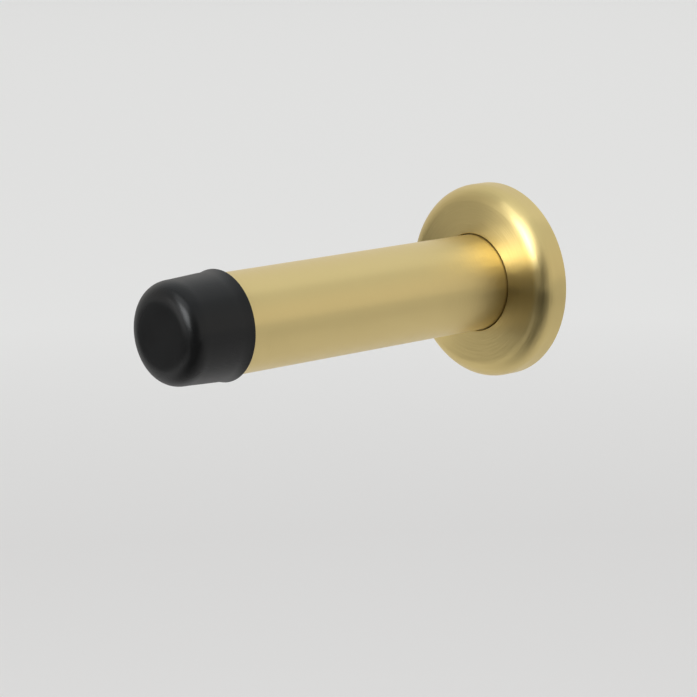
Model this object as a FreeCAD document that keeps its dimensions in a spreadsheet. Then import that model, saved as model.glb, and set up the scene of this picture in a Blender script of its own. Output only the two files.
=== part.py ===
import FreeCAD, Part

import math
import os
import re

import Sketcher

# A wall-mounted door stop: a tube that stands straight out of the wall, a round rose that covers its fixing,
# and a rubber buffer on its free end.
#
# Frame: the wall is the plane y = 0 with the room on its -Y side, +Z is up, and the origin is the point
# where the stop's axis meets the wall. Every turned piece is drawn in its own frame as an outline of
# (radius, height), with its height along local +Z, and its Placement turns local +Z to -Y, out of the wall.
# Heights are measured from the wall, except the buffer's, which start at its rear rim.

# Driving dimensions in millimetres, turns and degrees: name, value, meaning.
SIZES = [
    ("tube_radius", 9.5, "outside of the 19 mm tube"),
    ("tube_bore", 8.2, "inside of the tube"),
    ("tube_rear", 4.0, "height of the tube's wall end, inside the rose"),
    ("tube_front", 74.6, "height of the tube's free end, inside the buffer"),
    ("edge_break", 0.3, "small chamfer on turned ends"),
    ("rose_radius", 19.2, "outside of the rose"),
    ("rose_corner", 6.1, "height where the rose's side and face would meet"),
    ("rose_face", 6.6, "height of the rose's face at its hole"),
    ("rose_rounding", 3.4, "radius between the rose's side and face"),
    ("rose_hole", 9.7, "radius of the hole that the tube passes through"),
    ("rose_wall", 1.2, "thickness of the rose's shell"),
    ("plate_radius", 17.0, "outside of the mounting plate"),
    ("plate_thickness", 3.2, "thickness of the mounting plate"),
    ("boss_radius", 7.2, "boss in the middle of the plate"),
    ("boss_top", 5.0, "height of the boss"),
    ("groove_radius", 15.8, "bottom of the groove in the plate's rim"),
    ("groove_low", 0.6, "height of the groove's wall side"),
    ("groove_high", 2.4, "height of the groove's room side"),
    ("ring_section", 0.85, "radius of the grip ring's round section"),
    ("ring_centre", 16.88, "radius of the grip ring's centre line"),
    ("screw_circle", 11.5, "radius of the circle that the wood screws stand on"),
    ("screw_count", 3, "number of wood screws"),
    ("screw_turn", 70.0, "angle of the first wood screw, from +X towards +Z"),
    ("screw_hole", 2.0, "radius of a screw's clearance hole"),
    ("screw_head", 3.2, "radius of a wood screw's countersunk head"),
    ("screw_sink", 0.1, "how far a screw's head lies below the plate's face"),
    ("screw_neck", 1.6, "radius of a wood screw's plain neck"),
    ("screw_thread", 1.75, "radius over a wood screw's thread"),
    ("screw_length", 12.0, "whole length of a wood screw"),
    ("screw_tip", 2.4, "length of a wood screw's point"),
    ("stud_radius", 4.0, "radius over the stud's M8 thread"),
    ("stud_rear", 1.0, "height of the stud's end in the boss"),
    ("stud_front", 15.0, "height of the stud's free end"),
    ("stud_chamfer", 0.7, "chamfer on both ends of the stud"),
    ("washer_inside", 4.3, "inside radius of the spring washer"),
    ("washer_outside", 7.4, "outside radius of the spring washer"),
    ("washer_thickness", 2.0, "thickness of the spring washer, pressed flat"),
    ("washer_sweep", 348.0, "angle that the split washer covers, in degrees"),
    ("insert_length", 10.0, "length of the threaded insert in the tube"),
    ("insert_bore", 4.06, "radius of the insert's thread, clear of the stud"),
    ("buffer_rear", 71.9, "height of the buffer's rear rim"),
    ("buffer_length", 13.8, "rim to front face of the buffer"),
    ("lip_radius", 10.5, "outside of the buffer's rear rim"),
    ("lip_length", 2.8, "length of the flared lip"),
    ("lip_blend", 4.0, "hollow radius between the lip and the barrel"),
    ("barrel_radius", 10.1, "outside of the buffer just ahead of its lip"),
    ("shoulder_radius", 9.75, "outside of the buffer at its front"),
    ("buffer_rounding", 3.4, "radius round the buffer's front face"),
    ("socket_radius", 9.6, "pocket in the buffer that takes the tube's end"),
    ("socket_depth", 2.8, "depth of that pocket"),
    ("stem_length", 10.0, "length of the buffer's stem inside the tube"),
    ("stem_core", 7.5, "radius of the stem between its ribs"),
    ("stem_rib", 8.14, "radius of the stem's ribs"),
    ("rib_count", 4, "number of ribs on the stem"),
    ("rib_land", 0.6, "flat top of a rib"),
    ("stem_bore", 4.0, "radius of the hollow in the stem"),
    ("stem_bore_end", 5.0, "how far in front of the rim the stem's hollow ends"),
]


def make_sheet(doc):
    """The spreadsheet of driving dimensions: name, value and meaning in one row each."""
    sheet = doc.addObject("Spreadsheet::Sheet", "Sizes")
    for row, (name, value, meaning) in enumerate(SIZES, start=1):
        sheet.set(f"A{row}", name)
        sheet.set(f"B{row}", str(value))
        sheet.setAlias(f"B{row}", name)
        sheet.set(f"C{row}", meaning)
    doc.recompute()
    return sheet


def bound(text):
    """An expression in the sizes' names, with each name pointed at the spreadsheet."""
    return re.sub(r"[a-z]\w+", lambda name: "Sizes." + name.group(), text)


def size(text):
    """The value now of an expression in the sizes' names."""
    return float(sheet.evalExpression(bound(text)))


def origin_plane(body, role):
    """One of the planes that a body is built on."""
    return next(feature for feature in body.Origin.OriginFeatures if feature.Role == role)


def add_sketch(body, name):
    """An empty sketch in the body's own XZ plane, so that sketch x is radius and sketch y is height."""
    sketch = body.newObject("Sketcher::SketchObject", name)
    sketch.AttachmentSupport = (origin_plane(body, "XZ_Plane"), [""])
    sketch.MapMode = "FlatFace"
    return sketch


def hold_coordinate(sketch, kind, edge, text):
    """Fix the x or y of an edge's start point: on the sketch's axis for 0, else at the expression's value."""
    vertical_axis, horizontal_axis, origin = -2, -1, -1
    if text == "0":
        axis = vertical_axis if kind == "DistanceX" else horizontal_axis
        sketch.addConstraint(Sketcher.Constraint("PointOnObject", edge, 1, axis))
        return
    index = sketch.addConstraint(Sketcher.Constraint(kind, origin, 1, edge, 1, size(text)))
    sketch.setExpression(f"Constraints[{index}]", bound(text))


def add_outline(body, name, outline):
    """A closed outline of straight edges whose corners are (radius, height) expressions."""
    sketch = add_sketch(body, name)
    corners = [FreeCAD.Vector(size(radius), size(height), 0) for radius, height in outline]
    following = corners[1:] + corners[:1]
    for start, end in zip(corners, following):
        sketch.addGeometry(Part.LineSegment(start, end), False)
    for edge in range(len(outline)):
        sketch.addConstraint(Sketcher.Constraint("Coincident", edge, 2, (edge + 1) % len(outline), 1))
    for edge, (radius, height) in enumerate(outline):
        hold_coordinate(sketch, "DistanceX", edge, radius)
        hold_coordinate(sketch, "DistanceY", edge, height)
    return sketch


def place_on_axis(body, height="0", turn="0"):
    """Stand a body on the stop's axis: local +Z out of the wall, raised by height and turned about the axis."""
    out_of_wall = FreeCAD.Rotation(FreeCAD.Vector(1, 0, 0), 90)
    about_axis = FreeCAD.Rotation(FreeCAD.Vector(0, 0, 1), size(turn))
    body.Placement = FreeCAD.Placement(FreeCAD.Vector(0, 0, 0), out_of_wall.multiply(about_axis))
    if height != "0":
        body.setExpression("Placement.Base.y", f"-({bound(height)})")


def turned_body(label, outline, sweep="360"):
    """A body turned from one closed outline about its local Z axis."""
    body = doc.addObject("PartDesign::Body", label)
    body.Label = label
    sketch = add_outline(body, f"{label}_outline", outline)
    turning = body.newObject("PartDesign::Revolution", f"{label}_turning")
    turning.Profile = sketch
    turning.ReferenceAxis = (sketch, ["V_Axis"])
    turning.setExpression("Angle", bound(sweep))
    doc.recompute()
    return body


def ring_edge(body, radius, height):
    """The name of the body's circular edge at this radius and height."""
    for number, edge in enumerate(body.Tip.Shape.Edges, start=1):
        if not isinstance(edge.Curve, Part.Circle):
            continue
        same_radius = abs(edge.Curve.Radius - size(radius)) < 1e-4
        same_height = abs(edge.Curve.Center.z - size(height)) < 1e-4
        if same_radius and same_height:
            return f"Edge{number}"
    raise RuntimeError(f"{body.Label} has no ring edge at radius {radius}, height {height}")


def dress_rings(body, kind, rings, amount):
    """Fillet or chamfer the ring edges at the given (radius, height) places by the same amount."""
    edges = [ring_edge(body, radius, height) for radius, height in rings]
    base = body.Tip
    feature = body.newObject(f"PartDesign::{kind}", f"{body.Name}_{kind.lower()}")
    feature.Base = (base, edges)
    feature.setExpression("Radius" if kind == "Fillet" else "Size", bound(amount))
    doc.recompute()


def make_mounting_plate():
    """Round plate against the wall: a grooved rim, a boss tapped for the stud, three countersunk holes."""
    plate = turned_body("mounting_plate", [
        ("0", "0"),
        ("plate_radius", "0"),
        ("plate_radius", "groove_low"),
        ("groove_radius", "groove_low"),
        ("groove_radius", "groove_high"),
        ("plate_radius", "groove_high"),
        ("plate_radius", "plate_thickness"),
        ("boss_radius", "plate_thickness"),
        ("boss_radius", "boss_top"),
        ("stud_radius", "boss_top"),
        ("stud_radius", "stud_rear"),
        ("0", "stud_rear"),
    ])
    dress_rings(plate, "Chamfer", [("plate_radius", "plate_thickness"), ("boss_radius", "boss_top")], "edge_break")
    before = plate.Tip.Shape.Volume
    hole = cut_screw_hole(plate)
    pattern = plate.newObject("PartDesign::PolarPattern", "screw_hole_circle")
    pattern.Originals = [hole]
    pattern.Axis = (hole.Profile[0], ["V_Axis"])
    pattern.Angle = 360
    pattern.setExpression("Occurrences", bound("screw_count"))
    plate.Tip = pattern
    doc.recompute()
    one_hole = math.pi * size("screw_hole") ** 2 * size("plate_thickness")
    if before - plate.Shape.Volume < size("screw_count") * one_hole:
        raise RuntimeError("the screw holes did not cut the mounting plate")
    place_on_axis(plate, turn="screw_turn")


def cut_screw_hole(plate):
    """One countersunk hole, turned about a line that stands on the screw circle."""
    wide = "screw_circle + screw_head + screw_sink"
    cone_foot = "plate_thickness - (screw_head + screw_sink - screw_hole)"
    sketch = add_outline(plate, "screw_hole_outline", [
        ("screw_circle", "0"),
        ("screw_circle + screw_hole", "0"),
        ("screw_circle + screw_hole", cone_foot),
        (wide, "plate_thickness"),
        ("screw_circle", "plate_thickness"),
    ])
    foot = FreeCAD.Vector(size("screw_circle"), 0, 0)
    top = FreeCAD.Vector(size("screw_circle"), size("plate_thickness"), 0)
    axis = sketch.addGeometry(Part.LineSegment(foot, top), True)
    sketch.addConstraint(Sketcher.Constraint("Coincident", axis, 1, 0, 1))
    sketch.addConstraint(Sketcher.Constraint("Coincident", axis, 2, axis - 1, 1))
    hole = plate.newObject("PartDesign::Groove", "screw_hole_cut")
    hole.Profile = sketch
    hole.ReferenceAxis = (sketch, ["Axis0"])
    hole.Angle = 360
    doc.recompute()
    return hole


def make_wood_screws():
    """Countersunk wood screws through the plate, each with its point at local -Z, into the wall."""
    head_top = "plate_thickness - screw_sink"
    cone_foot = f"{head_top} - (screw_head - screw_neck)"
    point = f"{head_top} - screw_length"
    for number in range(int(size("screw_count"))):
        screw = turned_body(f"wood_screw_{number + 1}", [
            ("0", point),
            ("screw_thread", f"{point} + screw_tip"),
            ("screw_thread", "0"),
            ("screw_neck", "0"),
            ("screw_neck", cone_foot),
            ("screw_head", head_top),
            ("0", head_top),
        ])
        place_on_axis(screw)
        angle = f"screw_turn + {number} * 360 / screw_count"
        screw.setExpression("Placement.Base.x", f"{bound('screw_circle')} * cos({bound(angle)})")
        screw.setExpression("Placement.Base.z", f"{bound('screw_circle')} * sin({bound(angle)})")


def make_threaded_stud():
    """The M8 stud that is screwed into the plate's boss; its thread is a plain cylinder."""
    stud = turned_body("threaded_stud", [
        ("0", "stud_rear"),
        ("stud_radius", "stud_rear"),
        ("stud_radius", "stud_front"),
        ("0", "stud_front"),
    ])
    dress_rings(stud, "Chamfer", [("stud_radius", "stud_rear"), ("stud_radius", "stud_front")], "stud_chamfer")
    place_on_axis(stud)


def make_grip_ring():
    """The rubber ring in the plate's rim that holds the rose by friction."""
    ring = doc.addObject("Part::Torus", "grip_ring")
    ring.Label = "grip_ring"
    ring.setExpression("Radius1", bound("ring_centre"))
    ring.setExpression("Radius2", bound("ring_section"))
    place_on_axis(ring, height="(groove_low + groove_high) / 2")


def make_lock_washer():
    """The split spring washer between the boss and the insert."""
    top = "boss_top + washer_thickness"
    washer = turned_body("lock_washer", [
        ("washer_inside", "boss_top"),
        ("washer_outside", "boss_top"),
        ("washer_outside", top),
        ("washer_inside", top),
    ], sweep="washer_sweep")
    place_on_axis(washer)


def make_tube_insert():
    """The threaded plug pressed into the tube's wall end; it screws on to the stud."""
    rear = "boss_top + washer_thickness"
    front = f"{rear} + insert_length"
    insert = turned_body("tube_insert", [
        ("insert_bore", rear),
        ("tube_bore", rear),
        ("tube_bore", front),
        ("insert_bore", front),
    ])
    dress_rings(insert, "Chamfer", [("insert_bore", rear), ("insert_bore", front)], "edge_break")
    place_on_axis(insert)


def make_tube():
    """The drawn tube, open at both ends."""
    tube = turned_body("tube", [
        ("tube_bore", "tube_rear"),
        ("tube_radius", "tube_rear"),
        ("tube_radius", "tube_front"),
        ("tube_bore", "tube_front"),
    ])
    dress_rings(tube, "Chamfer", [("tube_radius", "tube_rear"), ("tube_radius", "tube_front")], "edge_break")
    place_on_axis(tube)


def make_rose_cover():
    """The thin shell that hides the plate: an upright side, a large rounding and a slightly domed face."""
    inside = "rose_radius - rose_wall"
    rose = turned_body("rose_cover", [
        ("rose_radius", "0"),
        ("rose_radius", "rose_corner"),
        ("rose_hole", "rose_face"),
        ("rose_hole", "rose_face - rose_wall"),
        (inside, "rose_corner - rose_wall"),
        (inside, "0"),
    ])
    dress_rings(rose, "Fillet", [("rose_radius", "rose_corner")], "rose_rounding")
    dress_rings(rose, "Fillet", [(inside, "rose_corner - rose_wall")], "rose_rounding - rose_wall")
    place_on_axis(rose)


def stem_ribs():
    """Corners down the outside of the stem: each rib has a flat top and a slope towards the stem's end."""
    pitch = "stem_length / rib_count"
    corners = []
    for rib in range(int(size("rib_count"))):
        top = f"socket_depth - {rib} * {pitch}"
        corners += [
            ("stem_core", f"{top} - {pitch} / 3"),
            ("stem_rib", f"{top} - {pitch} / 3"),
            ("stem_rib", f"{top} - {pitch} / 3 - rib_land"),
            ("stem_core", f"{top} - {pitch}"),
        ]
    return corners


def make_rubber_buffer():
    """The rubber buffer: a cap whose lip goes over the tube's end and whose hollow ribbed stem goes into it."""
    stem_end = "socket_depth - stem_length"
    outline = [
        ("lip_radius", "0"),
        ("barrel_radius", "lip_length"),
        ("shoulder_radius", "buffer_length"),
        ("0", "buffer_length"),
        ("0", "stem_bore_end"),
        ("stem_bore", "stem_bore_end"),
        ("stem_bore", stem_end),
    ]
    outline += reversed(stem_ribs())
    outline += [
        ("stem_core", "socket_depth"),
        ("socket_radius", "socket_depth"),
        ("socket_radius", "0"),
    ]
    buffer = turned_body("rubber_buffer", outline)
    dress_rings(buffer, "Fillet", [("shoulder_radius", "buffer_length")], "buffer_rounding")
    dress_rings(buffer, "Fillet", [("barrel_radius", "lip_length")], "lip_blend")
    place_on_axis(buffer, height="buffer_rear")


def find_subparts():
    """Every finished sub-part: the bodies, and the primitives that stand on their own."""
    return [item for item in doc.Objects if item.isDerivedFrom("PartDesign::Body") or item.TypeId == "Part::Torus"]


def check_model(subparts):
    """Stop if any object failed, or if a sub-part isn't one valid solid."""
    for item in doc.Objects:
        if "Invalid" in item.State or "Error" in item.State:
            raise RuntimeError(f"{item.Label} failed: {item.State}")
    for item in subparts:
        if item.Shape.isNull() or not item.Shape.isValid() or len(item.Shape.Solids) != 1:
            raise RuntimeError(f"{item.Label} isn't one valid solid")


def write_subparts(subparts):
    """One STEP file for each sub-part, named after it."""
    os.makedirs("parts", exist_ok=True)
    for item in subparts:
        item.Shape.exportStep(f"parts/{item.Label}.step")
        box = item.Shape.BoundBox
        print(f"{item.Label:16s} volume {item.Shape.Volume:9.1f} mm3, y {box.YMin:7.2f} to {box.YMax:6.2f}")


doc = FreeCAD.newDocument("door_stop")
sheet = make_sheet(doc)
make_mounting_plate()
make_wood_screws()
make_threaded_stud()
make_grip_ring()
make_lock_washer()
make_tube_insert()
make_tube()
make_rose_cover()
make_rubber_buffer()
doc.recompute()
subparts = find_subparts()
check_model(subparts)
write_subparts(subparts)
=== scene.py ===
import math

import bmesh
import bpy
from mathutils import Matrix, Vector


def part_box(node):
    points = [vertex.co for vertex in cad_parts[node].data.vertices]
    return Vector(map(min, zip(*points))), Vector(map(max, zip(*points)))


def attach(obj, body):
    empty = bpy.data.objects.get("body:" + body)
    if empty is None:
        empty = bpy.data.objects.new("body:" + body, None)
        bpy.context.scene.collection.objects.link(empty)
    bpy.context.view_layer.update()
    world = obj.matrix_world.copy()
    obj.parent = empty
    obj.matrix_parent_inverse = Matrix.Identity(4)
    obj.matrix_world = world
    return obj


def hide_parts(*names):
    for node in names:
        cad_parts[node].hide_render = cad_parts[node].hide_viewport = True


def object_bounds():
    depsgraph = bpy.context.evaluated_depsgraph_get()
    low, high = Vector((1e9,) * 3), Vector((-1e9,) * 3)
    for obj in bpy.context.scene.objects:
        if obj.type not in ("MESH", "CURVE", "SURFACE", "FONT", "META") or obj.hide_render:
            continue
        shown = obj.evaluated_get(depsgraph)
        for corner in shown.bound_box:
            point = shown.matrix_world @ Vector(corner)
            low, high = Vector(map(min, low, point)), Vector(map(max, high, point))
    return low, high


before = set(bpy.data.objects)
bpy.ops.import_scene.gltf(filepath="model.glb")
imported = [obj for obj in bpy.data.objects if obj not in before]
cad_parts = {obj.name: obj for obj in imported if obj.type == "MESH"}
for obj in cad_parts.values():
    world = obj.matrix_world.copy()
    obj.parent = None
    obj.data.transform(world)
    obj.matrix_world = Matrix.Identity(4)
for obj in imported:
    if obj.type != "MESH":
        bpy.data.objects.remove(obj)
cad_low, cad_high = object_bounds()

# The looks of a wall-mounted door stop. The stop stands out of the wall along -Y, +Z is up, and everything
# is in metres. Turned pieces are outlines of (radius, height), where height is the distance from the wall.

MM = 0.001
FULL_TURN = 2 * math.pi
QUARTER_TURN = math.pi / 2
UP = Vector((0, 0, 1))


# ---------------------------------------------------------------- sizes that the frame gives

def outer_radius(node):
    """Outside radius of a turned CAD node."""
    low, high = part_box(node)
    return (high.x - low.x) / 2


def wall_side(node):
    """Height of the end of a CAD node that is nearer the wall."""
    return -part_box(node)[1].y


def room_side(node):
    """Height of the end of a CAD node that is further from the wall."""
    return -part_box(node)[0].y


# ---------------------------------------------------------------- mesh tools

ARC_STEP = math.radians(6)
SOFT_POWER = 2.5
SOFT_STEPS = 24
MERGE_DISTANCE = 0.0001 * MM
SHARP_EDGE = math.radians(40)
SHARP_CUT = math.radians(30)


def rounded_outline(corners):
    """A closed outline from (radius, height, rounding) corners, with an arc at each that has a rounding."""
    points = []
    for index, (radius, height, rounding) in enumerate(corners):
        here = Vector((radius, height))
        if rounding == 0:
            points.append(here)
            continue
        before = (Vector(corners[index - 1][:2]) - here).normalized()
        after = (Vector(corners[(index + 1) % len(corners)][:2]) - here).normalized()
        half_angle = before.angle(after) / 2
        centre = here + (before + after).normalized() * rounding / math.sin(half_angle)
        reach = rounding / math.tan(half_angle)
        first = here + before * reach - centre
        last = here + after * reach - centre
        start = math.atan2(first.y, first.x)
        sweep = (math.atan2(last.y, last.x) - start + math.pi) % FULL_TURN - math.pi
        steps = max(3, math.ceil(abs(sweep) / ARC_STEP))
        for step in range(steps + 1):
            angle = start + sweep * step / steps
            points.append(centre + rounding * Vector((math.cos(angle), math.sin(angle))))
    return points


def soft_corner(radius, height, reach):
    """Points round an outside corner, from the side to the face, for rounded_outline.

    They follow a superellipse, which bends more gently into both than an arc of the same reach."""
    points = []
    for step in range(SOFT_STEPS + 1):
        angle = QUARTER_TURN * step / SOFT_STEPS
        out = math.cos(angle) ** (2 / SOFT_POWER)
        up = math.sin(angle) ** (2 / SOFT_POWER)
        points.append((radius - reach * (1 - out), height - reach * (1 - up), 0))
    return points


def divided(outline, longest):
    """The same closed outline with no run longer than this, except along the axis."""
    points = []
    for start, end in zip(outline, outline[1:] + outline[:1]):
        along_axis = start.x == 0 and end.x == 0
        count = 1 if along_axis else max(1, math.ceil((end - start).length / longest))
        points += [start.lerp(end, step / count) for step in range(count)]
    return points


def shade(mesh, sharp):
    """Shade a mesh smooth, except across edges sharper than this angle."""
    mesh.shade_smooth()
    mesh.set_sharp_from_angle(angle=sharp)


def finish_mesh(name, bm):
    """An object from a bmesh."""
    bmesh.ops.remove_doubles(bm, verts=bm.verts, dist=MERGE_DISTANCE)
    bmesh.ops.recalc_face_normals(bm, faces=bm.faces)
    mesh = bpy.data.meshes.new(name)
    bm.to_mesh(mesh)
    bm.free()
    shade(mesh, SHARP_EDGE)
    made = bpy.data.objects.new(name, mesh)
    bpy.context.scene.collection.objects.link(made)
    return made


def turned(name, outline, segments, swell=None, centre=(0, 0)):
    """A closed outline turned about a line along Y through centre, an (x, z) pair.

    swell(angle, radius, height), where given, is added to the radius: it makes threads and knurls."""
    bm = bmesh.new()
    rings = []
    for radius, height in outline:
        if radius == 0:
            rings.append([bm.verts.new((centre[0], -height, centre[1]))])
            continue
        ring = []
        for step in range(segments):
            angle = FULL_TURN * step / segments
            reach = radius + (swell(angle, radius, height) if swell else 0)
            x = centre[0] + reach * math.cos(angle)
            z = centre[1] + reach * math.sin(angle)
            ring.append(bm.verts.new((x, -height, z)))
        rings.append(ring)
    for ring, following in zip(rings, rings[1:] + rings[:1]):
        if len(ring) == 1 and len(following) == 1:
            continue
        for step in range(segments):
            beside = (step + 1) % segments
            corners = [
                ring[step % len(ring)],
                ring[beside % len(ring)],
                following[beside % len(following)],
                following[step % len(following)],
            ]
            bm.faces.new(dict.fromkeys(corners))
    return finish_mesh(name, bm)


def cut_away(piece, cutters):
    """Cut each cutter out of the piece, then delete the cutters."""
    for cutter in cutters:
        modifier = piece.modifiers.new("cut", "BOOLEAN")
        modifier.operation = "DIFFERENCE"
        modifier.solver = "EXACT"
        modifier.object = cutter
    bpy.context.view_layer.update()
    solid = piece.evaluated_get(bpy.context.evaluated_depsgraph_get())
    mesh = bpy.data.meshes.new_from_object(solid)
    piece.modifiers.clear()
    piece.data = mesh
    shade(mesh, SHARP_CUT)
    for cutter in cutters:
        bpy.data.objects.remove(cutter)


def fade(height, low, high, run):
    """1 between low and high, falling to 0 over a run at each end."""
    inside = min(height - low, high - height) / run
    return max(0.0, min(1.0, inside))


def helix_share(angle, height, pitch):
    """How far along one thread's pitch this point is, from 0 to 1, with the crest at a half."""
    return (height / pitch + angle / FULL_TURN) % 1.0


CREST_SHARE = 0.14
FLANKS_SHARE = 0.74


def thread_depth(share):
    """Depth of a metric thread below its crest, 0 to 1: a flat crest, sloping flanks and a flat root."""
    from_crest = abs(share - 0.5) * 2
    return min(1.0, max(0.0, (from_crest - CREST_SHARE) / FLANKS_SHARE))


# ---------------------------------------------------------------- node tools

def add_node(tree, kind, inputs=None, **settings):
    """A shader node with its settings, and its inputs set to values or linked to sockets."""
    made = tree.nodes.new(kind)
    for name, value in settings.items():
        setattr(made, name, value)
    for name, value in (inputs or {}).items():
        if isinstance(value, bpy.types.NodeSocket):
            tree.links.new(value, made.inputs[name])
        else:
            made.inputs[name].default_value = value
    return made


def calculate(tree, operation, *values):
    """The output of a Math node."""
    return add_node(tree, "ShaderNodeMath", dict(enumerate(values)), operation=operation).outputs[0]


def vector_node(tree, operation, inputs):
    """The outputs of a Vector Math node."""
    return add_node(tree, "ShaderNodeVectorMath", inputs, operation=operation).outputs


def object_place(tree):
    """Where a point is on its piece, in metres."""
    return add_node(tree, "ShaderNodeTexCoord").outputs["Object"]


def remap(tree, value, low, high, start=0.0, end=1.0):
    """A value from start..end spread over low..high."""
    inputs = {"Value": value, "From Min": start, "From Max": end, "To Min": low, "To Max": high}
    return add_node(tree, "ShaderNodeMapRange", inputs).outputs[0]


def mix_colours(tree, share, first, second):
    """A colour between two others."""
    mixer = add_node(tree, "ShaderNodeMix", {0: share, 6: first, 7: second}, data_type="RGBA")
    return mixer.outputs[2]


def mix_values(tree, share, first, second):
    """A value between two others."""
    return add_node(tree, "ShaderNodeMix", {0: share, 2: first, 3: second}).outputs[0]


def noise(tree, vector, scale, detail=3.0):
    """Noise from 0 to 1 over a vector."""
    inputs = {"Vector": vector, "Scale": scale, "Detail": detail}
    return add_node(tree, "ShaderNodeTexNoise", inputs).outputs["Fac"]


def uneven(tree, pattern, middle, swing, start, end):
    """A value that swings about a middle as a pattern goes from start to end."""
    return remap(tree, pattern, middle - swing, middle + swing, start, end)


def new_material(name, **inputs):
    """A material with its Principled shader, whose uniform inputs are set by name."""
    material = bpy.data.materials.new(name)
    material.use_nodes = True
    shader = material.node_tree.nodes["Principled BSDF"]
    for socket, value in inputs.items():
        shader.inputs[socket.replace("_", " ")].default_value = value
    return material, material.node_tree, shader


def drive(tree, shader, **inputs):
    """Link sockets to a shader's inputs by name."""
    for socket, value in inputs.items():
        tree.links.new(value, shader.inputs[socket.replace("_", " ")])


def roughen(tree, height, strength, depth):
    """The normal of a bumpy surface."""
    inputs = {"Strength": strength, "Distance": depth, "Height": height}
    return add_node(tree, "ShaderNodeBump", inputs).outputs[0]


# ---------------------------------------------------------------- brass

MARK_LENGTH_SCALE = 2.5
MARK_RANGE = (0.3, 0.7)
MARK_DEPTH = 0.12 * MM
CLOUD_SCALE = 90.0
CLOUD_RANGE = (0, 1)
BRASS_UNEVENNESS = 0.03

TUBE_LIGHT = (0.740, 0.590, 0.272, 1)
TUBE_DARK = (0.700, 0.555, 0.252, 1)
BRASS_LIGHT = (0.745, 0.590, 0.262, 1)
BRASS_DARK = (0.700, 0.552, 0.238, 1)


def turning_place(tree, place, marks_per_metre):
    """Coordinates for turning marks: quick along the outline and slow round the axis."""
    split = add_node(tree, "ShaderNodeSeparateXYZ", {0: place}).outputs
    flat = add_node(tree, "ShaderNodeCombineXYZ", {0: split[0], 2: split[2]}).outputs[0]
    radius = vector_node(tree, "LENGTH", {0: flat})["Value"]
    heading = vector_node(tree, "NORMALIZE", {0: flat})[0]
    heading = vector_node(tree, "SCALE", {0: heading, 3: MARK_LENGTH_SCALE})[0]
    along = calculate(tree, "MULTIPLY", calculate(tree, "ADD", radius, split[1]), marks_per_metre)
    rise = add_node(tree, "ShaderNodeCombineXYZ", {1: along}).outputs[0]
    return vector_node(tree, "ADD", {0: heading, 1: rise})[0]


def satin_brass(name, light, dark, rough, marks_per_metre, relief, anisotropic):
    """Brass with a satin finish brushed round the stop's axis."""
    material, tree, shader = new_material(
        name, Metallic=1.0, Anisotropic=anisotropic, Anisotropic_Rotation=0.25)
    place = object_place(tree)
    marks_place = turning_place(tree, place, marks_per_metre)
    marks = noise(tree, marks_place, 1.0, detail=1.5)
    cloud = noise(tree, place, CLOUD_SCALE, detail=2.0)
    half_cloud = calculate(tree, "MULTIPLY", cloud, 0.5)
    tone = calculate(tree, "MULTIPLY_ADD", marks, 0.5, half_cloud)
    streaky = uneven(tree, marks, rough, BRASS_UNEVENNESS, *MARK_RANGE)
    cloudy = uneven(tree, cloud, 0, BRASS_UNEVENNESS, *CLOUD_RANGE)
    lines = noise(tree, marks_place, 1.0, detail=1.0)
    drive(
        tree,
        shader,
        Base_Color=mix_colours(tree, tone, dark, light),
        Roughness=calculate(tree, "ADD", streaky, cloudy),
        Tangent=add_node(tree, "ShaderNodeTangent", direction_type="RADIAL", axis="Y").outputs[0],
        Normal=roughen(tree, lines, relief, MARK_DEPTH),
    )
    return material


def tube_brass():
    """The tube's brushed brass."""
    return satin_brass(
        "tube_brass", TUBE_LIGHT, TUBE_DARK,
        rough=0.35, marks_per_metre=2600, relief=0.2, anisotropic=0.72)


def rose_brass():
    """The rose's brass, turned in circles, with a longer shine across its marks."""
    return satin_brass(
        "rose_brass", BRASS_LIGHT, BRASS_DARK,
        rough=0.33, marks_per_metre=2200, relief=0.3, anisotropic=0.9)


def insert_brass():
    """The insert's brass, plainly turned and shinier."""
    return satin_brass(
        "insert_brass", BRASS_LIGHT, BRASS_DARK,
        rough=0.25, marks_per_metre=1500, relief=0.15, anisotropic=0.3)


# ---------------------------------------------------------------- rubber

RUBBER_SPECULAR = 0.28
BLOOM_SCALE = 160.0
BLOOM_RANGE = (0.25, 0.75)
BLOOM_UNEVENNESS = 0.02
PORE_SCALE = 3500.0
PORE_DEPTH = 0.03 * MM
GLANCING_START = 0.40
GLANCING_FULL = 0.9
GLANCING_DULLNESS = 0.22
DUST_CELL_SCALE = 260.0
DUST_CORE = 0.02
DUST_RIM = 0.045
DUST_PICK_SCALE = 900.0
DUST_RARITY = 0.66
DUST_STRENGTH = 0.25
DUST_COLOUR = (0.25, 0.25, 0.24, 1)

BUFFER_LIGHT = (0.0078, 0.0080, 0.0082, 1)
BUFFER_DARK = (0.0056, 0.0056, 0.0056, 1)
RING_LIGHT = (0.03, 0.03, 0.03, 1)
RING_DARK = (0.02, 0.02, 0.02, 1)


def dust_specks(tree, place):
    """1 on the few specks of dust, in the middle of some cells, and 0 elsewhere."""
    cells = add_node(tree, "ShaderNodeTexVoronoi", {"Vector": place, "Scale": DUST_CELL_SCALE}).outputs
    near = remap(tree, cells["Distance"], 1.0, 0.0, DUST_CORE, DUST_RIM)
    chance = noise(tree, cells["Position"], DUST_PICK_SCALE, detail=0.0)
    return calculate(tree, "MULTIPLY", near, calculate(tree, "GREATER_THAN", chance, DUST_RARITY))


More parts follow.
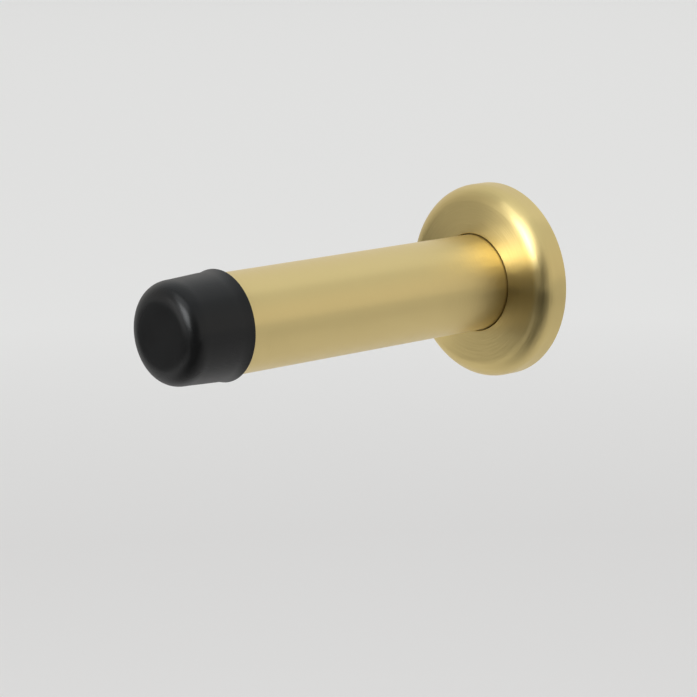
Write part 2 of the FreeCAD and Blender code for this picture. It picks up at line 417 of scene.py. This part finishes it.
def moulded_rubber(name, light, dark, rough, relief):
    """Smooth black rubber: faint pores, cloudy bloom, a little dust, and duller at glancing angles."""
    material, tree, shader = new_material(name, Metallic=0.0, Specular_IOR_Level=RUBBER_SPECULAR)
    place = object_place(tree)
    bloom = noise(tree, place, BLOOM_SCALE)
    pores = noise(tree, place, PORE_SCALE, detail=1.0)
    clean = mix_colours(tree, bloom, dark, light)
    dust = calculate(tree, "MULTIPLY", dust_specks(tree, place), DUST_STRENGTH)
    slant = add_node(tree, "ShaderNodeLayerWeight", {"Blend": 0.5}).outputs["Facing"]
    dulling = remap(tree, slant, 0.0, GLANCING_DULLNESS, GLANCING_START, GLANCING_FULL)
    cloudy = uneven(tree, bloom, rough, BLOOM_UNEVENNESS, *BLOOM_RANGE)
    drive(
        tree,
        shader,
        Base_Color=mix_colours(tree, dust, clean, DUST_COLOUR),
        Roughness=calculate(tree, "ADD", cloudy, dulling),
        Normal=roughen(tree, pores, relief, PORE_DEPTH),
    )
    return material


def buffer_rubber():
    """The buffer's near-black rubber."""
    return moulded_rubber("buffer_rubber", BUFFER_LIGHT, BUFFER_DARK, rough=0.255, relief=0.04)


def ring_rubber():
    """The grip ring's rubber, greyer and duller."""
    return moulded_rubber("ring_rubber", RING_LIGHT, RING_DARK, rough=0.36, relief=0.15)


# ---------------------------------------------------------------- steel

PLATING_CLOUD_SCALE = 420.0
PLATING_GRAIN_SCALE = 4200.0
PLATING_RANGE = (0.3, 0.7)
PLATING_UNEVENNESS = 0.08
PLATING_RELIEF = 0.25
PLATING_DEPTH = 0.04 * MM

PLATE_LIGHT = (0.66, 0.66, 0.65, 1)
PLATE_DARK = (0.52, 0.52, 0.50, 1)
FASTENER_LIGHT = (0.50, 0.49, 0.47, 1)
FASTENER_DARK = (0.36, 0.355, 0.34, 1)


def plated_steel(name, light, dark, rough):
    """Zinc-plated steel: cloudy passivation over a fine grain."""
    material, tree, shader = new_material(name, Metallic=1.0)
    place = object_place(tree)
    cloud = noise(tree, place, PLATING_CLOUD_SCALE, detail=4.0)
    grain = noise(tree, place, PLATING_GRAIN_SCALE, detail=2.0)
    drive(
        tree,
        shader,
        Base_Color=mix_colours(tree, cloud, dark, light),
        Roughness=uneven(tree, cloud, rough, PLATING_UNEVENNESS, *PLATING_RANGE),
        Normal=roughen(tree, grain, PLATING_RELIEF, PLATING_DEPTH),
    )
    return material


def plate_steel():
    """The mounting plate's steel."""
    return plated_steel("plate_steel", PLATE_LIGHT, PLATE_DARK, rough=0.38)


def fastener_steel():
    """The screws', stud's and washer's steel, darker and shinier than the plate's."""
    return plated_steel("fastener_steel", FASTENER_LIGHT, FASTENER_DARK, rough=0.30)


def dress(piece, material, body, node):
    """Give a piece its material and body, and let it stand for its CAD node."""
    piece.data.materials.clear()
    piece.data.materials.append(material)
    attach(piece, body)
    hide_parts(node)


# ---------------------------------------------------------------- the pieces that show

SMOOTH_SEGMENTS = 256

TUBE_WALL = 1.3 * MM
TUBE_EDGE = 0.3 * MM
TUBE_BORE_EDGE = 0.1 * MM
TUBE_STEP = 1.5 * MM


def make_tube(material):
    """The satin tube, open at both ends, with softly broken edges."""
    radius = outer_radius("tube")
    bore = radius - TUBE_WALL
    rear, front = wall_side("tube"), room_side("tube")
    outline = rounded_outline([
        (bore, rear, TUBE_BORE_EDGE),
        (radius, rear, TUBE_EDGE),
        (radius, front, TUBE_EDGE),
        (bore, front, TUBE_BORE_EDGE),
    ])
    tube = turned("satin_tube", divided(outline, TUBE_STEP), SMOOTH_SEGMENTS)
    dress(tube, material, "tube_unit", "tube")


ROSE_WALL = 1.2 * MM
ROSE_CORNER = 6.1 * MM
ROSE_FACE = 6.6 * MM
ROSE_ROUNDING = 3.4 * MM
ROSE_GAP = 0.2 * MM
ROSE_EDGE = 0.15 * MM
ROSE_STEP = 0.4 * MM


def make_rose(material):
    """The rose: upright side, large rounding, and a face that rises slightly to a thin gap round the tube."""
    radius = outer_radius("rose_cover")
    hole = outer_radius("tube") + ROSE_GAP
    inside = radius - ROSE_WALL
    outline = rounded_outline([
        (radius, 0, ROSE_EDGE),
        (radius, ROSE_CORNER, ROSE_ROUNDING),
        (hole, ROSE_FACE, ROSE_EDGE),
        (hole, ROSE_FACE - ROSE_WALL, ROSE_EDGE),
        (inside, ROSE_CORNER - ROSE_WALL, ROSE_ROUNDING - ROSE_WALL),
        (inside, 0, ROSE_EDGE),
    ])
    rose = turned("turned_rose", divided(outline, ROSE_STEP), SMOOTH_SEGMENTS)
    dress(rose, material, "rose", "rose_cover")


BUFFER_LENGTH = 13.8 * MM
BUFFER_REACH = 4.2 * MM
BUFFER_STEP = 0.5 * MM
BARREL_RADIUS = 10.1 * MM
SHOULDER_RADIUS = 9.75 * MM
LIP_LENGTH = 2.8 * MM
LIP_EDGE = 0.1 * MM
LIP_INNER_EDGE = 0.15 * MM
LIP_STEPS = 8
LIP_CURVE = 2.2
SOCKET_RADIUS = 9.6 * MM
SOCKET_DEPTH = 2.8 * MM
SOCKET_ROUNDING = 0.2 * MM
STEM_CORE = 7.5 * MM
STEM_EDGE = 0.3 * MM
STEM_BORE = 4.0 * MM
STEM_BORE_END = 5.0 * MM
STEM_BORE_ROUNDING = 1.0 * MM
RIB_RADIUS = 8.14 * MM
RIB_COUNT = 4
RIB_LAND = 0.6 * MM
RIB_FOOT_ROUNDING = 0.1 * MM
RIB_TOP_ROUNDING = 0.12 * MM


def lip_flare(rear):
    """Corners up the outside of the buffer's lip, which narrows from its rear rim in a hollow curve."""
    rim = outer_radius("rubber_buffer")
    corners = [(rim, rear, LIP_EDGE)]
    for step in range(1, LIP_STEPS + 1):
        share = step / LIP_STEPS
        radius = BARREL_RADIUS + (rim - BARREL_RADIUS) * (1 - share) ** LIP_CURVE
        corners.append((radius, rear + LIP_LENGTH * share, 0))
    return corners


def stem_ribs(base, pitch):
    """Corners up the outside of the stem, from its end: each rib slopes out to a narrow land."""
    corners = []
    for rib in reversed(range(RIB_COUNT)):
        foot = base - (rib + 1) * pitch
        land = base - rib * pitch - pitch / 3
        corners += [
            (STEM_CORE, foot, RIB_FOOT_ROUNDING),
            (RIB_RADIUS, land - RIB_LAND, RIB_TOP_ROUNDING),
            (RIB_RADIUS, land, RIB_TOP_ROUNDING),
            (STEM_CORE, land, RIB_FOOT_ROUNDING),
        ]
    return corners


def make_buffer(material):
    """The rubber buffer: a cap with a flared lip and a hollow ribbed stem."""
    front = room_side("rubber_buffer")
    rear = front - BUFFER_LENGTH
    stem_end = wall_side("rubber_buffer")
    base = rear + SOCKET_DEPTH
    outline = rounded_outline([
        *lip_flare(rear),
        *soft_corner(SHOULDER_RADIUS, front, BUFFER_REACH),
        (0, front, 0),
        (0, rear + STEM_BORE_END, 0),
        (STEM_BORE, rear + STEM_BORE_END, STEM_BORE_ROUNDING),
        (STEM_BORE, stem_end, STEM_EDGE),
        *stem_ribs(base, (base - stem_end) / RIB_COUNT),
        (STEM_CORE, base, SOCKET_ROUNDING),
        (SOCKET_RADIUS, base, SOCKET_ROUNDING),
        (SOCKET_RADIUS, rear, LIP_INNER_EDGE),
    ])
    buffer = turned("moulded_buffer", divided(outline, BUFFER_STEP), SMOOTH_SEGMENTS)
    dress(buffer, material, "buffer", "rubber_buffer")


# ---------------------------------------------------------------- the fixing behind the rose

SCREW_NODES = ["wood_screw_1", "wood_screw_2", "wood_screw_3"]
SCREW_HOLE = 2.0 * MM
SCREW_SINK = 0.1 * MM
HOLE_SEGMENTS = 96
CUTTER_OVERLAP = 0.5 * MM

PLATE_THICKNESS = 3.2 * MM
PLATE_EDGE = 0.25 * MM
PLATE_FINE_EDGE = 0.125 * MM
PLATE_STEP = 4.0 * MM
PLATE_SEGMENTS = 192
BOSS_RADIUS = 7.2 * MM
GROOVE_RADIUS = 15.8 * MM
GROOVE_LOW = 0.6 * MM
GROOVE_HIGH = 2.4 * MM
STUD_SEAT = 1.0 * MM


def screw_centre(node):
    """Where a wood screw's own axis stands, as (x, z)."""
    low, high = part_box(node)
    return (low.x + high.x) / 2, (low.z + high.z) / 2


def screw_hole_cutter(node):
    """A countersunk hole through the plate, as a solid to cut away."""
    wide = outer_radius(node) + SCREW_SINK
    outline = [
        Vector((0, -CUTTER_OVERLAP)),
        Vector((SCREW_HOLE, -CUTTER_OVERLAP)),
        Vector((SCREW_HOLE, PLATE_THICKNESS - (wide - SCREW_HOLE))),
        Vector((wide, PLATE_THICKNESS)),
        Vector((wide + CUTTER_OVERLAP, PLATE_THICKNESS + CUTTER_OVERLAP)),
        Vector((0, PLATE_THICKNESS + CUTTER_OVERLAP)),
    ]
    return turned(f"cutter_{node}", outline, HOLE_SEGMENTS, centre=screw_centre(node))


def make_plate(material):
    """The mounting plate with its boss, grooved rim and countersunk holes."""
    radius = outer_radius("mounting_plate")
    boss_top = room_side("mounting_plate")
    stud = outer_radius("threaded_stud")
    outline = rounded_outline([
        (0, 0, 0),
        (radius, 0, PLATE_FINE_EDGE),
        (radius, GROOVE_LOW, PLATE_FINE_EDGE),
        (GROOVE_RADIUS, GROOVE_LOW, PLATE_EDGE),
        (GROOVE_RADIUS, GROOVE_HIGH, PLATE_EDGE),
        (radius, GROOVE_HIGH, PLATE_FINE_EDGE),
        (radius, PLATE_THICKNESS, PLATE_EDGE),
        (BOSS_RADIUS, PLATE_THICKNESS, PLATE_EDGE),
        (BOSS_RADIUS, boss_top, PLATE_EDGE),
        (stud, boss_top, PLATE_EDGE),
        (stud, STUD_SEAT, 0),
        (0, STUD_SEAT, 0),
    ])
    plate = turned("fixing_plate", divided(outline, PLATE_STEP), PLATE_SEGMENTS)
    cut_away(plate, [screw_hole_cutter(node) for node in SCREW_NODES])
    dress(plate, material, "wall_fixing", "mounting_plate")


SCREW_PITCH = 1.35 * MM
SCREW_CORE = 1.15 * MM
SCREW_THREAD = 1.75 * MM
SCREW_TIP = 2.4 * MM
SCREW_TIP_ROUNDING = 0.8 * MM
SCREW_NECK = 1.6 * MM
SCREW_NECK_START = 0.5 * MM
SCREW_NECK_ROUNDING = 0.2 * MM
SCREW_CONE_ROUNDING = 0.3 * MM
SCREW_RIM = 0.12 * MM
SCREW_RIDGE_SHARE = 0.2
SCREW_RIDGE_CURVE = 0.9
SCREW_RUN_OUT = 0.3 * MM
SCREW_STEPS_PER_PITCH = 14
SCREW_SEGMENTS = 72

RECESS_OVERLAP = 0.2 * MM
RECESS_DEPTH = 1.9 * MM
RECESS_HALF_LENGTH = 1.85 * MM
RECESS_HALF_WIDTH = 0.42 * MM
RECESS_LENGTH_LEFT = 0.45
RECESS_FIRST_TURN = math.radians(17)
RECESS_NEXT_TURN = math.radians(41)


def recess_blade(name, node, turn):
    """One tapered blade of the cross recess in a wood screw's head, as a solid to cut away."""
    x, z = screw_centre(node)
    top = room_side(node) + RECESS_OVERLAP
    bm = bmesh.new()
    corners = []
    for height, share in ((top, 1.0), (top - RECESS_DEPTH, RECESS_LENGTH_LEFT)):
        half_length = RECESS_HALF_LENGTH * share
        half_width = RECESS_HALF_WIDTH * (1 + share) / 2
        for across, along in ((-1, -1), (1, -1), (1, 1), (-1, 1)):
            point = Vector((along * half_length, across * half_width))
            point.rotate(Matrix.Rotation(turn, 2))
            corners.append(bm.verts.new((x + point.x, -height, z + point.y)))
    bmesh.ops.convex_hull(bm, input=corners)
    return finish_mesh(name, bm)


def make_wood_screw(number, node, material):
    """A countersunk cross-recess wood screw: a deep single thread that runs out to a point."""
    head = outer_radius(node)
    head_top = room_side(node)
    point = wall_side(node)

    def thread(angle, radius, height):
        """The ridge that stands out of the core, lower towards the point."""
        if height > 0:
            return 0
        from_crest = abs(helix_share(angle, height, SCREW_PITCH) - 0.5)
        ridge = max(0.0, 1 - from_crest / SCREW_RIDGE_SHARE) ** SCREW_RIDGE_CURVE
        taper = min(1.0, (height - point) / SCREW_TIP)
        return (SCREW_THREAD - SCREW_CORE) * ridge * taper * fade(height, point, 0, SCREW_RUN_OUT)

    outline = rounded_outline([
        (0, point, 0),
        (SCREW_CORE, point + SCREW_TIP, SCREW_TIP_ROUNDING),
        (SCREW_CORE, 0, 0),
        (SCREW_NECK, SCREW_NECK_START, SCREW_NECK_ROUNDING),
        (SCREW_NECK, head_top - (head - SCREW_NECK), SCREW_CONE_ROUNDING),
        (head, head_top - SCREW_RIM, 0),
        (head - SCREW_RIM / 2, head_top, 0),
        (0, head_top, 0),
    ])
    dense = divided(outline, SCREW_PITCH / SCREW_STEPS_PER_PITCH)
    name = f"countersunk_screw_{number}"
    screw = turned(name, dense, SCREW_SEGMENTS, swell=thread, centre=screw_centre(node))
    turn = RECESS_FIRST_TURN + RECESS_NEXT_TURN * number
    blades = [
        recess_blade(f"blade_{number}_{quarter}", node, turn + quarter * QUARTER_TURN)
        for quarter in (0, 1)
    ]
    cut_away(screw, blades)
    dress(screw, material, "wall_fixing", node)


STUD_PITCH = 1.25 * MM
STUD_DEPTH = 0.7 * MM
STUD_CHAMFER = 0.7 * MM
STUD_STEPS_PER_PITCH = 16
STUD_SEGMENTS = 128


def make_stud(material):
    """The M8 stud with its helical thread and chamfered ends."""
    radius = outer_radius("threaded_stud")
    rear, front = wall_side("threaded_stud"), room_side("threaded_stud")

    def thread(angle, radius_here, height):
        """How deep the thread is cut at this point."""
        if radius_here < radius - STUD_DEPTH:
            return 0
        depth = STUD_DEPTH * thread_depth(helix_share(angle, height, STUD_PITCH))
        return min(0.0, (radius - depth) - radius_here)

    outline = rounded_outline([
        (0, rear, 0),
        (radius - STUD_CHAMFER, rear, 0),
        (radius, rear + STUD_CHAMFER, 0),
        (radius, front - STUD_CHAMFER, 0),
        (radius - STUD_CHAMFER, front, 0),
        (0, front, 0),
    ])
    dense = divided(outline, STUD_PITCH / STUD_STEPS_PER_PITCH)
    stud = turned("m8_stud", dense, STUD_SEGMENTS, swell=thread)
    dress(stud, material, "wall_fixing", "threaded_stud")


RING_SECTION = 0.85 * MM
RING_STEPS = 36
MOULDING_LINE = 0.04 * MM


def make_grip_ring(material):
    """The rubber ring in the plate's rim, with a fine moulding line round its outside."""
    centre = outer_radius("grip_ring") - RING_SECTION
    middle = (wall_side("grip_ring") + room_side("grip_ring")) / 2
    outline = []
    for step in range(RING_STEPS):
        angle = FULL_TURN * step / RING_STEPS
        reach = RING_SECTION + (MOULDING_LINE if step == 0 else 0)
        outline.append(Vector((centre + reach * math.cos(angle), middle + reach * math.sin(angle))))
    ring = turned("grip_o_ring", outline, SMOOTH_SEGMENTS)
    dress(ring, material, "wall_fixing", "grip_ring")


WASHER_HOLE = 4.3 * MM
WASHER_EDGE = 0.25 * MM
WASHER_SWEEP = math.radians(348)
WASHER_SLANT = math.radians(5)
WASHER_STEPS = 120


def make_washer(material):
    """The split spring washer: a rounded square section swept round, with slanting ends."""
    radius = outer_radius("lock_washer")
    rear, front = wall_side("lock_washer"), room_side("lock_washer")
    section = rounded_outline([
        (WASHER_HOLE, rear, WASHER_EDGE),
        (radius, rear, WASHER_EDGE),
        (radius, front, WASHER_EDGE),
        (WASHER_HOLE, front, WASHER_EDGE),
    ])
    middle = (rear + front) / 2
    half = front - middle
    bm = bmesh.new()
    rings = []
    for step in range(WASHER_STEPS + 1):
        ring = []
        for reach, height in section:
            angle = WASHER_SWEEP * step / WASHER_STEPS + WASHER_SLANT * (height - middle) / half
            ring.append(bm.verts.new((reach * math.cos(angle), -height, reach * math.sin(angle))))
        rings.append(ring)
    for ring, following in zip(rings, rings[1:]):
        for corner in range(len(section)):
            beside = (corner + 1) % len(section)
            bm.faces.new((ring[corner], ring[beside], following[beside], following[corner]))
    bm.faces.new(rings[0])
    bm.faces.new(rings[-1])
    washer = finish_mesh("spring_washer", bm)
    dress(washer, material, "washer", "lock_washer")


INSERT_EDGE = 0.3 * MM
INSERT_CLEARANCE = 0.06 * MM
INSERT_THREAD_DEPTH = 0.45 * MM
INSERT_RUN_OUT = 0.6 * MM
INSERT_STEPS_PER_PITCH = 10
INSERT_SEGMENTS = 240
KNURL_COUNT = 60
KNURL_DEPTH = 0.15 * MM
KNURL_LAND = 1.5 * MM
KNURL_RUN_OUT = 0.5 * MM
ON_SURFACE = 0.001 * MM


def make_insert(material):
    """The threaded plug in the tube: straight-knurled outside, M8 thread inside."""
    radius = outer_radius("tube_insert")
    bore = outer_radius("threaded_stud") + INSERT_CLEARANCE
    rear, front = wall_side("tube_insert"), room_side("tube_insert")

    def machining(angle, radius_here, height):
        """Knurls on the outside between two plain lands, and thread roots inside the bore."""
        if radius_here > radius - ON_SURFACE:
            groove = (1 - math.cos(KNURL_COUNT * angle)) / 2
            return -KNURL_DEPTH * groove * fade(height, rear + KNURL_LAND, front - KNURL_LAND, KNURL_RUN_OUT)
        if radius_here < bore + ON_SURFACE:
            root = 1 - thread_depth(helix_share(angle, height, STUD_PITCH))
            return INSERT_THREAD_DEPTH * root * fade(height, rear, front, INSERT_RUN_OUT)
        return 0

    outline = rounded_outline([
        (bore, rear, 0),
        (bore + INSERT_EDGE, rear, 0),
        (radius - INSERT_EDGE, rear, 0),
        (radius, rear + INSERT_EDGE, 0),
        (radius, front - INSERT_EDGE, 0),
        (radius - INSERT_EDGE, front, 0),
        (bore, front, 0),
    ])
    dense = divided(outline, STUD_PITCH / INSERT_STEPS_PER_PITCH)
    insert = turned("knurled_insert", dense, INSERT_SEGMENTS, swell=machining)
    dress(insert, material, "tube_unit", "tube_insert")


# ---------------------------------------------------------------- camera

VIEW_AZIMUTH = math.radians(47.80)
VIEW_ELEVATION = math.radians(11.03)
VIEW_ROLL = math.radians(-0.70)
VIEW_DISTANCE = 529.6 * MM
VIEW_MIDDLE = Vector((0, -34.5 * MM, 0))
AIM_RIGHT = -3.97 * MM
AIM_UP = -9.31 * MM
LENS = 142.96
SENSOR_WIDTH = 36
CLIP_START = 0.01
CLIP_END = 100


def direction(azimuth, elevation):
    """Unit vector from the stop towards azimuth 0 in front of it, a quarter turn on its +X side."""
    flat = math.cos(elevation)
    return Vector((math.sin(azimuth) * flat, -math.cos(azimuth) * flat, math.sin(elevation)))


def make_camera():
    """A long lens in front of the stop, to its right and a little above it."""
    back = direction(VIEW_AZIMUTH, VIEW_ELEVATION)
    level_right = Vector((math.cos(VIEW_AZIMUTH), math.sin(VIEW_AZIMUTH), 0))
    level_up = back.cross(level_right)
    right = level_right * math.cos(VIEW_ROLL) + level_up * math.sin(VIEW_ROLL)
    up = back.cross(right)
    aim = VIEW_MIDDLE + right * AIM_RIGHT + up * AIM_UP
    data = bpy.data.cameras.new("camera")
    data.lens = LENS
    data.sensor_width = SENSOR_WIDTH
    data.clip_start = CLIP_START
    data.clip_end = CLIP_END
    camera = bpy.data.objects.new("camera", data)
    place = Matrix((right, up, back)).transposed().to_4x4()
    place.translation = aim + back * VIEW_DISTANCE
    camera.matrix_world = place
    bpy.context.scene.collection.objects.link(camera)
    bpy.context.scene.camera = camera


# ---------------------------------------------------------------- floor and surroundings

FLOOR_DROP = 0.35
FLOOR_SIZE = 60.0
# Painted shade and light on the floor: darker near the stop, as a shadow under it would be, and paler far
# off.
FLOOR_SHADED_NEAR = (0.825, 0.803, 0.792, 1)
FLOOR_LIT_FAR = (0.985, 0.968, 0.955, 1)
FLOOR_FADE_START = 1.2
FLOOR_FADE_END = 2.0
FLOOR_MOTTLE = 0.1
FLOOR_MOTTLE_SCALE = 1.2


def make_floor():
    """A wide plain pale floor well below the stop, with painted shade: darker near the stop and paler in the
    distance.
    """
    bm = bmesh.new()
    bmesh.ops.create_grid(bm, x_segments=1, y_segments=1, size=FLOOR_SIZE / 2)
    floor = finish_mesh("floor", bm)
    floor.location = (0, 0, cad_low.z - FLOOR_DROP)
    material, tree, shader = new_material("floor_paint", Roughness=0.9)
    place = object_place(tree)
    distance = vector_node(tree, "LENGTH", {0: place})["Value"]
    # Painted shade near the stop that fades into painted light far off; the mottle added to it is random
    # tone.
    painted_falloff = remap(tree, distance, 0.0, 1.0, FLOOR_FADE_START, FLOOR_FADE_END)
    mottle = remap(tree, noise(tree, place, FLOOR_MOTTLE_SCALE), 0.0, FLOOR_MOTTLE)
    tone = calculate(tree, "ADD", painted_falloff, mottle)
    drive(tree, shader, Base_Color=mix_colours(tree, tone, FLOOR_SHADED_NEAR, FLOOR_LIT_FAR))
    floor.data.materials.append(material)


WORLD_LEFT = 0.54
WORLD_RIGHT = 0.08
WORLD_BACK = 0.82
WORLD_TOP = 0.70
WORLD_RIGHT_RANGE = (-0.7, 0.4)
WORLD_BACK_RANGE = (-0.40, -0.10)
WORLD_TOP_RANGE = (0.35, 0.85)
WORLD_AROUND_COLOUR = (1.0, 0.98, 0.945, 1)
WORLD_TOP_COLOUR = (0.93, 0.975, 1.0, 1)


def make_world():
    """Pale studio surroundings: bright behind the stop and above it, darker in front and to its right."""
    world = bpy.data.worlds.new("studio")
    world.use_nodes = True
    bpy.context.scene.world = world
    tree = world.node_tree
    heading = add_node(tree, "ShaderNodeTexCoord").outputs["Generated"]
    x, y, z = add_node(tree, "ShaderNodeSeparateXYZ", {0: heading}).outputs
    front = remap(tree, x, WORLD_LEFT, WORLD_RIGHT, *WORLD_RIGHT_RANGE)
    behind = remap(tree, y, 0, 1, *WORLD_BACK_RANGE)
    above = remap(tree, z, 0, 1, *WORLD_TOP_RANGE)
    around = mix_values(tree, behind, front, WORLD_BACK)
    drive(
        tree,
        tree.nodes["Background"],
        Color=mix_colours(tree, above, WORLD_AROUND_COLOUR, WORLD_TOP_COLOUR),
        Strength=mix_values(tree, above, around, WORLD_TOP),
    )


# ---------------------------------------------------------------- lights and flags

STOP_MIDDLE = Vector((0, -0.04, 0))
LAMP_SPREAD = 120
BANK_SPREAD = 140
DAYLIGHT = (0.955, 0.985, 1.0)
WHITE = (1, 1, 1)
BANK_PLACE = Vector((-3.0, 3.4, 2.6))
BANK_TARGET = Vector((-3.0, 3.4, 0))
FLAG_COLOUR = (0.025, 0.025, 0.025, 1)
NEAR_FLAG_PLACE = Vector((0.85, -1.2, -0.3))
FAR_FLAG_PLACE = Vector((-1.2, -1.6, -0.3))


def from_stop(azimuth, elevation, distance):
    """A point this far from the stop's middle, at these angles in degrees."""
    return STOP_MIDDLE + direction(math.radians(azimuth), math.radians(elevation)) * distance


def make_softbox(name, place, target, width, height, radiance, spread, colour):
    """A rectangular area light that faces a target.

    Its face is as bright as radiance, seen from straight ahead, and fades to nothing at half the spread, in
    degrees, to each side."""
    half_spread = math.radians(spread) / 2
    narrowing = 1 - half_spread / math.tan(half_spread)
    data = bpy.data.lights.new(name, "AREA")
    data.shape = "RECTANGLE"
    data.size = width
    data.size_y = height
    data.energy = radiance * math.pi * width * height * narrowing
    data.spread = math.radians(spread)
    data.color = colour
    light = bpy.data.objects.new(name, data)
    light.location = place
    light.rotation_mode = "QUATERNION"
    light.rotation_quaternion = (place - target).to_track_quat("Z", "Y")
    bpy.context.scene.collection.objects.link(light)


def make_flag(name, place, facing, width, height, soft_edge):
    """A dark card with soft edges that only reflections see, set up to shape the metal's shine."""
    bm = bmesh.new()
    bmesh.ops.create_grid(bm, x_segments=1, y_segments=1, size=0.5)
    bmesh.ops.scale(bm, verts=bm.verts, vec=(width, height, 1))
    flag = finish_mesh(name, bm)
    flag.location = place
    flag.rotation_mode = "QUATERNION"
    flag.rotation_quaternion = facing.to_track_quat("Z", "Y")
    flag.visible_camera = False
    flag.visible_shadow = False
    flag.visible_diffuse = False
    material, tree, shader = new_material(name, Roughness=1.0, Base_Color=FLAG_COLOUR)
    split = add_node(tree, "ShaderNodeSeparateXYZ", {0: object_place(tree)}).outputs
    cover = 1.0
    for along, size in ((split[0], width), (split[1], height)):
        from_middle = calculate(tree, "ABSOLUTE", along)
        inner = remap(tree, from_middle, 1, 0, size / 2 - soft_edge, size / 2)
        cover = calculate(tree, "MULTIPLY", cover, inner)
    drive(tree, shader, Alpha=cover)
    flag.data.materials.append(material)


def make_lights():
    """A window in front of the stop with a dimmer glow above it, a weak fill, and a bank above and behind."""
    make_softbox(
        "window", from_stop(azimuth=4, elevation=21, distance=1.5), STOP_MIDDLE,
        width=0.78, height=0.72, radiance=6.2, spread=LAMP_SPREAD, colour=DAYLIGHT)
    make_softbox(
        "glow", from_stop(azimuth=3, elevation=40, distance=1.55), STOP_MIDDLE,
        width=1.2, height=1.25, radiance=1.6, spread=LAMP_SPREAD, colour=DAYLIGHT)
    make_softbox(
        "fill", from_stop(azimuth=-25, elevation=8, distance=1.5), STOP_MIDDLE,
        width=0.7, height=0.6, radiance=1.1, spread=LAMP_SPREAD, colour=WHITE)
    make_softbox(
        "bank", BANK_PLACE, BANK_TARGET,
        width=8.0, height=8.0, radiance=0.24, spread=BANK_SPREAD, colour=WHITE)


def make_flags():
    """Two cards that lie below the stop, in front of it, and one that stands to its right."""
    make_flag("near_flag", NEAR_FLAG_PLACE, UP, width=2.3, height=2.6, soft_edge=0.35)
    make_flag("far_flag", FAR_FLAG_PLACE, UP, width=2.6, height=2.2, soft_edge=0.35)
    right = from_stop(azimuth=42, elevation=-8, distance=0.9)
    make_flag("right_flag", right, STOP_MIDDLE - right, width=1.0, height=0.75, soft_edge=0.30)


# ---------------------------------------------------------------- putting it together

make_tube(tube_brass())
make_rose(rose_brass())
make_buffer(buffer_rubber())
make_plate(plate_steel())
fastener = fastener_steel()
for screw_number, screw_node in enumerate(SCREW_NODES, start=1):
    make_wood_screw(screw_number, screw_node, fastener)
make_stud(fastener)
make_grip_ring(ring_rubber())
make_washer(fastener)
make_insert(insert_brass())

make_camera()
make_floor()
make_world()
make_lights()
make_flags()
bpy.context.scene.view_settings.view_transform = "Standard"
